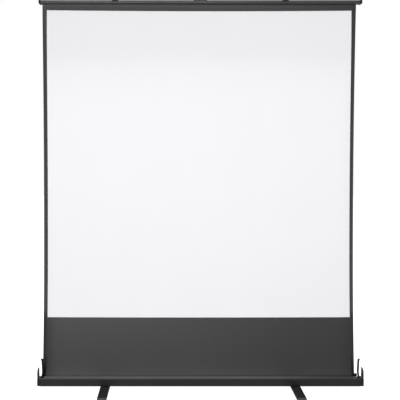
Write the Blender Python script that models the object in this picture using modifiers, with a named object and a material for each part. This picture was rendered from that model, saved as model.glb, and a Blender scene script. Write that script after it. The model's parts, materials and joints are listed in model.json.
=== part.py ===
"""Floor-standing projection screen that pulls up out of a low case, held by crossed folding arms.

Metres, +Z up, floor at Z = 0. The viewing side faces -Y. Modelled raised, with its feet turned out.
"""

from math import asin, atan2, cos, pi, radians, sin, sqrt, tan

import bmesh
import bpy
from mathutils import Matrix, Vector

# Clearances
SEAT = 0.0003
RUN = 0.0003

# Sheet
IMAGE_HALF = 0.900
IMAGE_HEIGHT = 1.812
SIDE_BORDER = 0.0275
TOP_BORDER = 0.0405
DROP = 0.344
SHEET_THICK = 0.0004
FACE_THICK = 0.0003
NECK_TOP = 0.0150
NECK_FOOT = 0.0070
WAIST_SHARE = 0.335
SHEET_SHIFT = -0.008
SHEET_STEPS = 12

# Feet
FOOT_X = 0.560
FOOT_LENGTH = 0.484
FOOT_WIDTH = 0.055
FOOT_THICK = 0.014
FOOT_WALL = 0.0016
PAD_THICK = 0.0047
PAD_LENGTH = 0.022
PAD_MARGIN = 0.004
PLUG_FLANGE = 0.003
PLUG_DEPTH = 0.012
WASHER_THICK = 0.0014
WASHER_RADIUS = 0.020
FOOT_BOLT_RADIUS = 0.004
FOOT_BOLT_HEAD = 0.009
FOOT_BOLT_HEAD_THICK = 0.0028

# Case extrusion
CASE_END_ROOM = 0.0125
CASE_DEPTH = 0.094
CASE_FRONT_RISE = 0.0425
CASE_CREST_RISE = 0.0495
CASE_WALL = 0.0025
FLANGE_DEPTH = 0.0355
SLOT_WIDTH = 0.0105
PARTITION_THICK = 0.002
PARTITION_RISE = 0.039
PARTITION_SEAT = 0.0008

# Case end caps, with cradle and horn
END_CAP_THICK = 0.0172
CRADLE_DROP = 0.002
HORN_THICK = 0.0069
HORN_RISE = 0.059
EAR_THICK = 0.0022
EAR_RADIUS = 0.0038
CAP_SHOULDER_DROP = 0.0225
TONGUE_LENGTH = 0.010
TONGUE_RISE = 0.014

# End catches
CATCH_INSET = 0.0085
CATCH_BELLY = 0.0085
CATCH_PIVOT_DROP = 0.0045
CATCH_RISE = 0.1125
CATCH_GAP = 0.001
CATCH_SIDE_GAP = 0.002
CATCH_PIN_RADIUS = 0.0014

# Roller
TUBE_RADIUS = 0.011
TUBE_WALL = 0.0012
WRAPS = 3
ROLL_MARGIN = 0.0005
ROLL_SIDE_MARGIN = 0.001
ARBOR_RADIUS = 0.003
ARBOR_LENGTH = 0.300
JOURNAL_RADIUS = 0.0035
ROLLER_PLATE = 0.0025
SPRING_WIRE = 0.0007
SPRING_PITCH = 0.0055
SPRING_TURNS = 20

# Top bar
BAR_INSET = 0.0015
BAR_DEPTH = 0.039
BAR_FRONT_INSET = 0.005
BAR_HEIGHT = 0.0207
BAR_WALL = 0.002
BAR_BROW = 0.0095
BAR_CHAMFER = 0.0042
GROOVE_RADIUS = 0.0032
GROOVE_RISE = 0.0056
GROOVE_MOUTH = 0.002
ROD_RADIUS = 0.0024
BAR_CAP_THICK = 0.0112
BAR_CAP_LIP = 0.0012
BAR_CAP_CORNER = 0.0045
BAR_CAP_DROP = 0.0018
BAR_CAP_RISE = 0.003
GRIP_HALF = 0.0385
GRIP_DEPTH = 0.026
GRIP_RISE = 0.0042
GRIP_RIDGES = 5

# Folding support
SUPPORT_X = 0.500
ARM_LEAN = radians(38.35)
ARM_WIDTH = 0.022
ARM_THICK = 0.006
ARM_GAP = 0.001
KNEE_GAP = 0.0012
PIVOT_RISE = 0.0195
PIN_RADIUS = 0.004
RIVET_RADIUS = 0.0075
RIVET_THICK = 0.0014
PLATE_THICK = 0.003
BRACKET_WIDTH = 0.037
BRACKET_END_RADIUS = 0.013
CLOSED_GAP = 0.0007

# Lengths, from the middle out
SHEET_HALF = IMAGE_HALF + SIDE_BORDER
CASE_HALF = SHEET_HALF + CASE_END_ROOM
BAR_HALF = CASE_HALF - BAR_INSET
CATCH_X = CASE_HALF - CATCH_INSET

# Heights, from the floor up
FOOT_BOTTOM = PAD_THICK + SEAT
FOOT_TOP = FOOT_BOTTOM + FOOT_THICK
WASHER_BOTTOM = FOOT_TOP + SEAT
CASE_BOTTOM = WASHER_BOTTOM + WASHER_THICK + SEAT
CASE_FLOOR = CASE_BOTTOM + CASE_WALL
CASE_FRONT_TOP = CASE_BOTTOM + CASE_FRONT_RISE
CREST = CASE_BOTTOM + CASE_CREST_RISE
CRADLE_FLOOR = CREST - CRADLE_DROP
IMAGE_BOTTOM = CREST + DROP
IMAGE_TOP = IMAGE_BOTTOM + IMAGE_HEIGHT
BAR_BOTTOM = IMAGE_TOP + TOP_BORDER
BAR_TOP = BAR_BOTTOM + BAR_HEIGHT
GROOVE_Z = BAR_BOTTOM + GROOVE_RISE
BASE_PIVOT_Z = CASE_FLOOR + PIVOT_RISE
PIVOT_DROP = CREST + CLOSED_GAP - BASE_PIVOT_Z
TOP_PIVOT_Z = BAR_BOTTOM - PIVOT_DROP
ARM_LENGTH = (TOP_PIVOT_Z - BASE_PIVOT_Z) / (2 * cos(ARM_LEAN))

# Depths, from the front back
CASE_FRONT = -CASE_DEPTH / 2
CASE_REAR = CASE_DEPTH / 2
CASE_REAR_INNER = CASE_REAR - CASE_WALL
FLANGE_REAR = CASE_FRONT + FLANGE_DEPTH
PARTITION_FRONT = FLANGE_REAR + SLOT_WIDTH
PARTITION_REAR = PARTITION_FRONT + PARTITION_THICK
BAR_FRONT = CASE_FRONT + BAR_FRONT_INSET
BAR_REAR = BAR_FRONT + BAR_DEPTH

# Roller and sheet line: the full roll just clears the partition and the floor of the case
SHEET_TRAVEL = BAR_BOTTOM - CREST - CLOSED_GAP
ROLL_DRAWN = TUBE_RADIUS + SEAT + WRAPS * SHEET_THICK
ROLL_FULL = sqrt(ROLL_DRAWN**2 + SHEET_TRAVEL * SHEET_THICK / pi)
ROLLER_Y = PARTITION_FRONT - ROLL_MARGIN - ROLL_FULL
ROLLER_Z = CASE_FLOOR + ROLL_MARGIN + ROLL_FULL
SHEET_Y = ROLLER_Y + ROLL_DRAWN + SEAT + SHEET_THICK / 2
TUBE_HALF = SHEET_HALF + ROLL_SIDE_MARGIN

# Hollow of the top bar, whose open ends pass the catches
HOLLOW_FRONT = BAR_FRONT + BAR_CHAMFER + BAR_WALL
HOLLOW_REAR = SHEET_Y - GROOVE_RADIUS - BAR_WALL
CATCH_FRONT = HOLLOW_FRONT + CATCH_GAP
CATCH_REAR = HOLLOW_REAR - CATCH_GAP
CATCH_DEPTH = CATCH_REAR - CATCH_FRONT

# Layers of the folding support, from its middle plane outward
SUPPORT_Y = (PARTITION_REAR + CASE_REAR_INNER) / 2
UPPER_OFFSET = PLATE_THICK / 2 + ARM_GAP + ARM_THICK / 2
LOWER_OFFSET = UPPER_OFFSET + ARM_THICK + KNEE_GAP
BASE_OFFSET = LOWER_OFFSET + ARM_THICK / 2 + ARM_GAP + PLATE_THICK / 2
KNEE_REACH = ARM_LENGTH * sin(ARM_LEAN)
KNEE_Z = BASE_PIVOT_Z + ARM_LENGTH * cos(ARM_LEAN)

# Colour, roughness and metallic value of each finish
FINISHES = {
    "case_black": ((0.035, 0.035, 0.036, 1), 0.42, 0.6),
    "bar_black": ((0.040, 0.040, 0.041, 1), 0.40, 0.6),
    "moulded_black": ((0.016, 0.016, 0.017, 1), 0.45, 0.0),
    "foot_black": ((0.030, 0.030, 0.031, 1), 0.50, 0.3),
    "arm_black": ((0.030, 0.030, 0.032, 1), 0.45, 0.5),
    "steel": ((0.42, 0.42, 0.43, 1), 0.35, 1.0),
    "tube_aluminium": ((0.62, 0.62, 0.63, 1), 0.40, 1.0),
    "rubber_black": ((0.020, 0.020, 0.020, 1), 0.80, 0.0),
    "sheet_black": ((0.062, 0.062, 0.062, 1), 0.85, 0.0),
    "sheet_white": ((0.90, 0.90, 0.91, 1), 0.75, 0.0),
}

PLANES = {
    "XY": Matrix.Identity(4),
    "XZ": Matrix.Rotation(pi / 2, 4, "X"),
    "YZ": Matrix(((0, 0, 1, 0), (1, 0, 0, 0), (0, 1, 0, 0), (0, 0, 0, 1))),
}

ALONG = {
    "X": Matrix.Rotation(pi / 2, 4, "Y"),
    "Y": Matrix.Rotation(-pi / 2, 4, "X"),
    "Z": Matrix.Identity(4),
}


def collection(name):
    group = bpy.data.collections.new(name)
    bpy.context.scene.collection.children.link(group)
    return group


def finish_material(name):
    """The material of one finish, made the first time it is asked for."""
    if name in bpy.data.materials:
        return bpy.data.materials[name]
    colour, roughness, metallic = FINISHES[name]
    material = bpy.data.materials.new(name)
    material.use_nodes = True
    shader = material.node_tree.nodes["Principled BSDF"]
    shader.inputs["Base Color"].default_value = colour
    shader.inputs["Roughness"].default_value = roughness
    shader.inputs["Metallic"].default_value = metallic
    material.diffuse_color = colour
    return material


def sided(points, side):
    """Outline points mirrored to the left (-1) or kept on the right (1)."""
    return [(side * u, v) for u, v in points]


def circle(radius, u=0.0, v=0.0, steps=24):
    angles = [2 * pi * step / steps for step in range(steps)]
    return [(u + radius * cos(a), v + radius * sin(a)) for a in angles]


def fillet(corners, steps=3):
    """An outline from (u, v, radius) corners, each rounded by an arc that meets both its edges."""
    outline = []
    for index, (u, v, radius) in enumerate(corners):
        here = Vector((u, v))
        if radius == 0:
            outline.append((u, v))
            continue
        before = (Vector(corners[index - 1][:2]) - here).normalized()
        after = (Vector(corners[(index + 1) % len(corners)][:2]) - here).normalized()
        half = before.angle(after) / 2
        centre = here + (before + after).normalized() * (radius / sin(half))
        start = here + before * (radius / tan(half)) - centre
        end = here + after * (radius / tan(half)) - centre
        first = atan2(start.y, start.x)
        sweep = (atan2(end.y, end.x) - first + pi) % (2 * pi) - pi
        for step in range(steps + 1):
            angle = first + sweep * step / steps
            outline.append((centre.x + radius * cos(angle), centre.y + radius * sin(angle)))
    return outline


def box_outline(low_u, high_u, low_v, high_v, radius=0.0):
    return fillet([(low_u, low_v, radius), (high_u, low_v, radius), (high_u, high_v, radius), (low_u, high_v, radius)])


def link_outline(length, radius, steps=8):
    """A bar with round ends, from a pivot at the origin to a pivot at height length."""
    lower = [(radius * cos(pi + pi * i / steps), radius * sin(pi + pi * i / steps)) for i in range(steps + 1)]
    upper = [(radius * cos(pi * i / steps), length + radius * sin(pi * i / steps)) for i in range(steps + 1)]
    return lower + upper


def place(name, source, direction, at, finish, turn):
    """The evaluated shape of a construction object, welded, stood in its direction and put in its place."""
    bpy.context.view_layer.update()
    evaluated = source.evaluated_get(bpy.context.evaluated_depsgraph_get())
    mesh = bpy.data.meshes.new_from_object(evaluated)
    bpy.data.objects.remove(source)
    mesh.name = name
    work = bmesh.new()
    work.from_mesh(mesh)
    bmesh.ops.remove_doubles(work, verts=work.verts, dist=0.00001)
    bmesh.ops.recalc_face_normals(work, faces=work.faces)
    work.to_mesh(mesh)
    work.free()
    mesh.transform(direction)
    mesh.shade_smooth()
    mesh.set_sharp_from_angle(angle=radians(35))
    mesh.materials.clear()
    mesh.materials.append(finish_material(finish))
    piece = bpy.data.objects.new(name, mesh)
    piece.location = at
    piece.rotation_euler = (0, turn, 0)
    PARTS.objects.link(piece)
    return piece


def plate(name, loops, thickness, plane, at, finish, turn=0.0):
    """A flat outline, with any holes, given thickness evenly to both sides of its plane."""
    data = bpy.data.curves.new(name, "CURVE")
    data.dimensions = "2D"
    data.fill_mode = "BOTH"
    data.extrude = thickness / 2
    for loop in loops:
        spline = data.splines.new("POLY")
        spline.points.add(len(loop) - 1)
        spline.use_cyclic_u = True
        for point, (u, v) in zip(spline.points, loop):
            point.co = (u, v, 0, 1)
    curve = bpy.data.objects.new(name, data)
    bpy.context.scene.collection.objects.link(curve)
    return place(name, curve, PLANES[plane], at, finish, turn)


def turned(name, profile, along, at, finish, closed=False, steps=24):
    """A (radius, height) profile, listed from its top down, turned about the line it stands along."""
    mesh = bpy.data.meshes.new(name)
    edges = [(i, i + 1) for i in range(len(profile) - 1)]
    if closed:
        edges.append((len(profile) - 1, 0))
    mesh.from_pydata([(r, 0, h) for r, h in profile], edges, [])
    spun = bpy.data.objects.new(name, mesh)
    bpy.context.scene.collection.objects.link(spun)
    screw = spun.modifiers.new("Turn", "SCREW")
    screw.steps = steps
    screw.render_steps = steps
    screw.use_merge_vertices = True
    screw.merge_threshold = 0.00001
    return place(name, spun, ALONG[along], at, finish, 0.0)


def ring(name, outer, inner, low, high, along, at, finish):
    """A washer or tube between two heights."""
    return turned(name, [(outer, high), (outer, low), (inner, low), (inner, high)], along, at, finish, closed=True)


def pin(name, radius, low, high, head, head_low, head_high, at, finish):
    """A round pin along Y, with a flat head on whichever end of it the head's heights meet."""
    if head_high >= high:
        profile = [(0, head_high), (head, head_high), (head, head_low), (radius, head_low), (radius, low), (0, low)]
    else:
        profile = [(0, high), (radius, high), (radius, head_high), (head, head_high), (head, head_low), (0, head_low)]
    return turned(name, profile, "Y", at, finish)


def shape(target, tool, operation="DIFFERENCE"):
    """Cuts, joins or trims a piece with a tool, which goes with the cutters."""
    step = target.modifiers.new(operation.title(), "BOOLEAN")
    step.operation = operation
    step.object = tool
    PARTS.objects.unlink(tool)
    CUTTERS.objects.link(tool)
    tool.hide_render = True
    tool.display_type = "WIRE"


def soften(piece, width, segments=2):
    bevel = piece.modifiers.new("Edges", "BEVEL")
    bevel.width = width
    bevel.segments = segments
    bevel.limit_method = "ANGLE"
    bevel.angle_limit = radians(50)


def carry(name, at, pieces):
    """An empty on a joint's axis that carries the pieces of one moving body."""
    axis = bpy.data.objects.new(name, None)
    axis.empty_display_size = 0.03
    axis.location = at
    PARTS.objects.link(axis)
    for piece in pieces:
        piece.parent = axis
        piece.location -= Vector(at)


def case_body():
    """Profiles of the case: crowned front over the roller, base plate, partition, and rear wall of the arm channel."""
    crown_y = CASE_FRONT + 0.4 * FLANGE_DEPTH
    crown_z = CASE_FRONT_TOP + 0.6 * (CREST - CASE_FRONT_TOP)
    inner_front = CASE_FRONT + CASE_WALL
    front_section = fillet(
        [
            (CASE_FRONT, CASE_BOTTOM, 0.8 * CASE_WALL),
            (inner_front, CASE_BOTTOM, 0),
            (inner_front, CASE_FRONT_TOP - CASE_WALL, CASE_WALL / 2),
            (crown_y, crown_z - CASE_WALL, 0.01),
            (FLANGE_REAR, CREST - CASE_WALL, 0),
            (FLANGE_REAR, CREST, CASE_WALL / 2),
            (crown_y, crown_z, 0.02),
            (CASE_FRONT, CASE_FRONT_TOP, 1.5 * CASE_WALL),
        ]
    )
    front = plate("case_front", [front_section], 2 * CASE_HALF, "YZ", (0, 0, 0), "case_black")
    rear_section = fillet(
        [
            (CASE_REAR_INNER, CASE_BOTTOM, 0),
            (CASE_REAR, CASE_BOTTOM, 0.8 * CASE_WALL),
            (CASE_REAR, CREST, CASE_WALL / 3),
            (CASE_REAR_INNER, CREST, CASE_WALL / 3),
        ]
    )
    plate("case_rear", [rear_section], 2 * CASE_HALF, "YZ", (0, 0, 0), "case_black")
    groove_floor = CASE_FLOOR - PARTITION_SEAT
    base_section = [
        (inner_front + SEAT, CASE_BOTTOM),
        (CASE_REAR_INNER - SEAT, CASE_BOTTOM),
        (CASE_REAR_INNER - SEAT, CASE_FLOOR),
        (PARTITION_REAR + SEAT, CASE_FLOOR),
        (PARTITION_REAR + SEAT, groove_floor),
        (PARTITION_FRONT - SEAT, groove_floor),
        (PARTITION_FRONT - SEAT, CASE_FLOOR),
        (inner_front + SEAT, CASE_FLOOR),
    ]
    base = plate("case_base", [base_section], 2 * CASE_HALF, "YZ", (0, 0, 0), "case_black")
    partition_top = CASE_BOTTOM + PARTITION_RISE
    partition_section = fillet(
        [
            (PARTITION_FRONT, groove_floor + SEAT, 0),
            (PARTITION_REAR, groove_floor + SEAT, 0),
            (PARTITION_REAR, partition_top, PARTITION_THICK / 3),
            (PARTITION_FRONT, partition_top, PARTITION_THICK / 3),
        ]
    )
    plate("case_partition", [partition_section], 2 * CASE_HALF, "YZ", (0, 0, 0), "case_black")
    for side in (-1, 1):
        inner = CATCH_X - EAR_RADIUS - 0.006
        notch = sided(box_outline(inner, CASE_HALF + 0.01, CREST - 0.013, CREST + 0.01), side)
        notch_front = CATCH_FRONT - EAR_THICK - 2 * RUN
        depth = PARTITION_FRONT - notch_front
        at = (0, notch_front + depth / 2, 0)
        shape(front, plate(f"notch_{side}", [notch], depth, "XZ", at, "steel"))
        bolt_hole = [circle(FOOT_BOLT_RADIUS + RUN)]
        at = (side * FOOT_X, 0, CASE_BOTTOM)
        shape(base, plate(f"foot_hole_{side}", bolt_hole, 3 * CASE_WALL, "XY", at, "steel"))


def case_end_cap(word, side):
    """Moulded end of the case: the cradle for the top bar's cap, its horn, and the catch's two ears."""
    inner = CASE_HALF + SEAT
    outer = inner + END_CAP_THICK
    horn = outer - HORN_THICK
    section = fillet(
        [
            (CASE_FRONT, CASE_BOTTOM, 2 * CASE_WALL),
            (CASE_REAR, CASE_BOTTOM, CASE_WALL),
            (CASE_REAR, CREST - CAP_SHOULDER_DROP, 0.006),
            (PARTITION_REAR, CRADLE_FLOOR - SEAT, 0.006),
            (CASE_FRONT + 0.012, CRADLE_FLOOR - SEAT, 0.006),
            (CASE_FRONT, CASE_FRONT_TOP, 0.003),
        ]
    )
    middle = side * (inner + outer) / 2
    cap = plate(f"case_end_cap_{word}", [section], END_CAP_THICK, "YZ", (middle, 0, 0), "moulded_black")
    soften(cap, 0.0015)
    horn_tip = CRADLE_FLOOR + HORN_RISE
    cradle = fillet(
        [
            (inner + 0.001, CRADLE_FLOOR - 0.02, 0),
            (outer - 0.0002, CRADLE_FLOOR - 0.02, 0),
            (outer - 0.0002, horn_tip - 0.018, 0.010),
            (outer - 0.0035, horn_tip - 0.005, 0.004),
            (horn + 0.0016, horn_tip, 0.0006),
            (horn + 0.0006, horn_tip - 0.003, 0.0006),
            (horn, CRADLE_FLOOR, BAR_CAP_CORNER),
            (inner + 0.001, CRADLE_FLOOR, 0.0015),
        ]
    )
    front = CASE_FRONT + 0.002
    rear = PARTITION_FRONT - 0.005
    at = (0, (front + rear) / 2, 0)
    shape(cap, plate(f"cradle_{word}", [sided(cradle, side)], rear - front, "XZ", at, "moulded_black"), "UNION")
    pivot_z = CREST - CATCH_PIVOT_DROP
    ear = box_outline(CATCH_X - EAR_RADIUS, inner + 0.004, pivot_z - EAR_RADIUS, pivot_z + EAR_RADIUS, 0.0025)
    hole = circle(CATCH_PIN_RADIUS + RUN, CATCH_X, pivot_z, 12)
    for place_word, y in (
        ("front", CATCH_FRONT - RUN - EAR_THICK / 2),
        ("rear", CATCH_REAR + RUN + EAR_THICK / 2),
    ):
        loops = [sided(ear, side), sided(hole, side)]
        name = f"ear_{place_word}_{word}"
        shape(cap, plate(name, loops, EAR_THICK, "XZ", (0, y, 0), "moulded_black"), "UNION")
    tongue = box_outline(
        PARTITION_REAR + SEAT, CASE_REAR_INNER - SEAT, CASE_FLOOR + SEAT, CASE_FLOOR + TONGUE_RISE, 0.001
    )
    length = TONGUE_LENGTH + 0.002
    at = (side * (inner - TONGUE_LENGTH + length / 2), 0, 0)
    shape(cap, plate(f"tongue_{word}", [tongue], length, "YZ", at, "moulded_black"), "UNION")


def end_catch(word, side):
    """Tall leaf with an outward lip, which springs aside, on a pin between the end cap's ears."""
    pivot_z = CREST - CATCH_PIVOT_DROP
    tip = pivot_z + CATCH_RISE
    foot = pivot_z - EAR_RADIUS + RUN
    leaf = [
        (CATCH_X - 0.0045, foot, 0.002),
        (CATCH_X + 0.0045, foot, 0.002),
        (CATCH_X + 0.0070, CRADLE_FLOOR + 0.0022, 0.001),
        (CATCH_X + 0.0035, CRADLE_FLOOR + 0.0075, 0.006),
        (CATCH_X - 0.0005, CRADLE_FLOOR + 0.035, 0.030),
        (CATCH_X + 0.0028, tip - 0.010, 0.006),
        (CATCH_X + 0.0068, tip - 0.0012, 0.0006),
        (CATCH_X + 0.0066, tip, 0.0003),
        (CATCH_X - 0.0010, tip - 0.0035, 0.004),
        (CATCH_X - 0.0040, tip - 0.006, 0.002),
        (CATCH_X - CATCH_BELLY, CRADLE_FLOOR + 0.035, 0.030),
        (CATCH_X - 0.0045, CRADLE_FLOOR + 0.010, 0.008),
    ]
    outline = [(u - CATCH_X, v - pivot_z) for u, v in fillet(leaf)]
    hole = circle(CATCH_PIN_RADIUS + RUN, 0, 0, 12)
    at = (side * CATCH_X, (CATCH_FRONT + CATCH_REAR) / 2, pivot_z)
    loops = [sided(outline, side), sided(hole, side)]
    catch = plate(f"end_catch_{word}", loops, CATCH_DEPTH, "XZ", at, "moulded_black")
    carry(f"catch_axis_{word}", at, [catch])
    reach = CATCH_DEPTH / 2 + RUN + EAR_THICK
    turned(
        f"catch_pin_{word}",
        [(0, reach), (CATCH_PIN_RADIUS, reach), (CATCH_PIN_RADIUS, -reach), (0, -reach)],
        "Y",
        at,
        "steel",
        steps=12,
    )


def foot(word, side):
    """Flat tube turned on a bolt under the case, with a plug and a pad at each end."""
    bar_z = (FOOT_BOTTOM + FOOT_TOP) / 2
    at = (side * FOOT_X, 0, bar_z)
    half_w = FOOT_WIDTH / 2
    half_t = FOOT_THICK / 2
    inner_w = half_w - FOOT_WALL
    inner_t = half_t - FOOT_WALL
    outer = box_outline(-half_w, half_w, -half_t, half_t, 0.003)
    inner = box_outline(-inner_w, inner_w, -inner_t, inner_t, 0.0014)
    tube_length = FOOT_LENGTH - 2 * PLUG_FLANGE - 2 * SEAT
    tube = plate(f"foot_bar_{word}", [outer, inner], tube_length, "XZ", at, "foot_black")
    bolt_hole = [circle(FOOT_BOLT_RADIUS + RUN)]
    shape(tube, plate(f"bolt_hole_{word}", bolt_hole, 2 * FOOT_THICK, "XY", at, "steel"))
    spigot = box_outline(-inner_w + SEAT, inner_w - SEAT, -inner_t + SEAT, inner_t - SEAT, 0.0012)
    pad = box_outline(-half_w + PAD_MARGIN, half_w - PAD_MARGIN, -PAD_LENGTH / 2, PAD_LENGTH / 2, 0.004)
    carried = [tube]
    for end_word, end in (("front", -1), ("rear", 1)):
        flange_y = end * (FOOT_LENGTH - PLUG_FLANGE) / 2
        flange = (at[0], flange_y, bar_z)
        plug = plate(f"foot_plug_{end_word}_{word}", [outer], PLUG_FLANGE, "XZ", flange, "rubber_black")
        soften(plug, 0.0008)
        depth = PLUG_DEPTH + PLUG_FLANGE / 2
        inward = (at[0], flange_y - end * depth / 2, bar_z)
        shape(plug, plate(f"spigot_{end_word}_{word}", [spigot], depth, "XZ", inward, "rubber_black"), "UNION")
        pad_y = end * (FOOT_LENGTH / 2 - PLUG_FLANGE - PAD_MARGIN - PAD_LENGTH / 2)
        rest = (at[0], pad_y, PAD_THICK / 2)
        rubber = plate(f"foot_pad_{end_word}_{word}", [pad], PAD_THICK, "XY", rest, "rubber_black")
        carried += [plug, rubber]
    carry(f"foot_axis_{word}", (at[0], 0, 0), carried)
    ground = (at[0], 0, 0)
    washer_inner = FOOT_BOLT_RADIUS + RUN
    washer_top = WASHER_BOTTOM + WASHER_THICK
    ring(f"foot_washer_{word}", WASHER_RADIUS, washer_inner, WASHER_BOTTOM, washer_top, "Z", ground, "steel")
    head_top = FOOT_BOTTOM - SEAT
    head_bottom = head_top - FOOT_BOLT_HEAD_THICK
    shank_top = CASE_FLOOR - PARTITION_SEAT - SEAT
    profile = [
        (0, shank_top),
        (FOOT_BOLT_RADIUS, shank_top),
        (FOOT_BOLT_RADIUS, head_top),
        (FOOT_BOLT_HEAD, head_top),
        (FOOT_BOLT_HEAD, head_bottom),
        (0, head_bottom),
    ]
    turned(f"foot_bolt_{word}", profile, "Z", ground, "steel")


def roller():
    """Spring roller: tube, wound end of the sheet, two end plugs, arbor, spring and brackets."""
    line = (0, ROLLER_Y, ROLLER_Z)
    bore = TUBE_RADIUS - TUBE_WALL
    ends = (-TUBE_HALF, TUBE_HALF)
    tube = ring("roller_tube", TUBE_RADIUS, bore, *ends, "X", line, "tube_aluminium")
    wound_half = sheet_half(ROLLER_Z)
    wound_at = (SHEET_SHIFT, ROLLER_Y, ROLLER_Z)
    wound_ends = (-wound_half, wound_half)
    wound = ring("wound_sheet", ROLL_DRAWN, TUBE_RADIUS + SEAT, *wound_ends, "X", wound_at, "sheet_black")
    spigot = bore - SEAT
    face = TUBE_HALF + SEAT
    flange = face + 0.0012
    plate_in = flange + 0.001
    plate_out = plate_in + ROLLER_PLATE
    journal_end = plate_out + 0.0015
    right = [
        (0, journal_end),
        (JOURNAL_RADIUS, journal_end),
        (JOURNAL_RADIUS, flange),
        (TUBE_RADIUS, flange),
        (TUBE_RADIUS, face),
        (spigot, face),
        (spigot, face - 0.012),
        (0, face - 0.012),
    ]
    plug_right = turned("roller_plug_right", right, "X", line, "moulded_black")
    bearing = ARBOR_RADIUS + RUN
    left = [
        (spigot, 0.012 - face),
        (spigot, -face),
        (TUBE_RADIUS, -face),
        (TUBE_RADIUS, -flange),
        (bearing, -flange),
        (bearing, 0.012 - face),
    ]
    plug_left = turned("roller_plug_left", left, "X", line, "moulded_black", closed=True)
    carry("roller_axis", line, [tube, wound, plug_left, plug_right])
    arbor_inner = ARBOR_LENGTH - journal_end
    arbor = [(0, arbor_inner), (ARBOR_RADIUS, arbor_inner), (ARBOR_RADIUS, -journal_end), (0, -journal_end)]
    turned("spring_arbor", arbor, "X", line, "steel")
    roller_spring(line, -face + 0.012 + SEAT + SPRING_WIRE)
    centre_x = (plate_in + plate_out) / 2
    top = ROLLER_Z + JOURNAL_RADIUS + 0.005
    body = box_outline(CASE_FRONT + CASE_WALL + SEAT, PARTITION_FRONT - SEAT, CASE_FLOOR + SEAT, top, 0.002)
    for word, side, radius in (("left", -1, ARBOR_RADIUS), ("right", 1, JOURNAL_RADIUS)):
        loops = [body, circle(radius + RUN, ROLLER_Y, ROLLER_Z, 16)]
        plate(f"roller_bracket_{word}", loops, ROLLER_PLATE, "YZ", (side * centre_x, 0, 0), "steel")


def roller_spring(line, start):
    """Torsion spring wound round the arbor, one open helix."""
    radius = ARBOR_RADIUS + SEAT + SPRING_WIRE
    per_turn = 10
    points = []
    for step in range(SPRING_TURNS * per_turn + 1):
        angle = 2 * pi * step / per_turn
        along = start + SPRING_PITCH * step / per_turn
        points.append(Vector((along, radius * cos(angle), radius * sin(angle))))
    nearest = min((points[i + per_turn] - points[i]).length for i in range(len(points) - per_turn))
    print(f"roller spring: least gap between its turns {1000 * (nearest - 2 * SPRING_WIRE):.2f} mm")
    data = bpy.data.curves.new("roller_spring", "CURVE")
    data.dimensions = "3D"
    data.bevel_depth = SPRING_WIRE
    data.bevel_resolution = 1
    data.use_fill_caps = True
    spline = data.splines.new("POLY")
    spline.points.add(len(points) - 1)
    for target, point in zip(spline.points, points):
        target.co = (*point, 1)
    wire = bpy.data.objects.new("roller_spring", data)
    bpy.context.scene.collection.objects.link(wire)
    place("roller_spring", wire, Matrix.Identity(4), line, "steel", 0.0)


def sheet_half(z):
    """Half width of the hanging sheet at a height: it necks in between the bar and the case."""
    waist_z = CREST + WAIST_SHARE * (BAR_BOTTOM - CREST)
    waist = SHEET_HALF - NECK_TOP
    if z > waist_z:
        return waist + NECK_TOP * ((z - waist_z) / (BAR_BOTTOM - waist_z)) ** 2
    return waist + NECK_FOOT * ((waist_z - z) / (waist_z - ROLLER_Z)) ** 2


def sheet_outline(bottom, top, inset):
    heights = [bottom + (top - bottom) * step / SHEET_STEPS for step in range(SHEET_STEPS + 1)]
    right = [(min(sheet_half(z), SHEET_HALF) - inset, z) for z in heights]
    return right + [(-u, z) for u, z in reversed(right)]


def sheet():
    """Black sheet from the roller to the bar, with the white viewing face laminated on its front."""
    top = GROOVE_Z - ROD_RADIUS - SEAT
    backing = sheet_outline(ROLLER_Z, top, 0)
    plate("screen_sheet", [backing], SHEET_THICK, "XZ", (SHEET_SHIFT, SHEET_Y, 0), "sheet_black")
    face_y = SHEET_Y - SHEET_THICK / 2 - SEAT - FACE_THICK / 2
    face = sheet_outline(IMAGE_BOTTOM, IMAGE_TOP, SIDE_BORDER)
    plate("viewing_face", [face], FACE_THICK, "XZ", (SHEET_SHIFT, face_y, 0), "sheet_white")


def bar_section():
    """Outline of the top bar: a brow over a sloping ledge in front, the rod's groove open below."""
    mouth = GROOVE_MOUTH / 2
    gap = asin(mouth / GROOVE_RADIUS)
    steps = 12
    groove = []
    for step in range(steps + 1):
        angle = -pi / 2 - gap - 2 * (pi - gap) * step / steps
        groove.append((SHEET_Y + GROOVE_RADIUS * cos(angle), GROOVE_Z + GROOVE_RADIUS * sin(angle), 0))
    brow_front = BAR_FRONT + BAR_CHAMFER
    corners = [
        (BAR_FRONT, BAR_BOTTOM, 0.0015),
        (SHEET_Y - mouth, BAR_BOTTOM, 0),
        *groove,
        (SHEET_Y + mouth, BAR_BOTTOM, 0),
        (BAR_REAR, BAR_BOTTOM, 0.0015),
        (BAR_REAR, BAR_TOP, 0.0015),
        (brow_front, BAR_TOP, 0.0015),
        (brow_front, BAR_TOP - BAR_BROW, 0.0006),
        (BAR_FRONT, BAR_TOP - BAR_BROW - BAR_CHAMFER, 0.0010),
    ]
    hollow = box_outline(HOLLOW_FRONT, HOLLOW_REAR, BAR_BOTTOM + BAR_WALL, BAR_TOP - BAR_WALL, 0.0015)
    return [fillet(corners), hollow]


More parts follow.
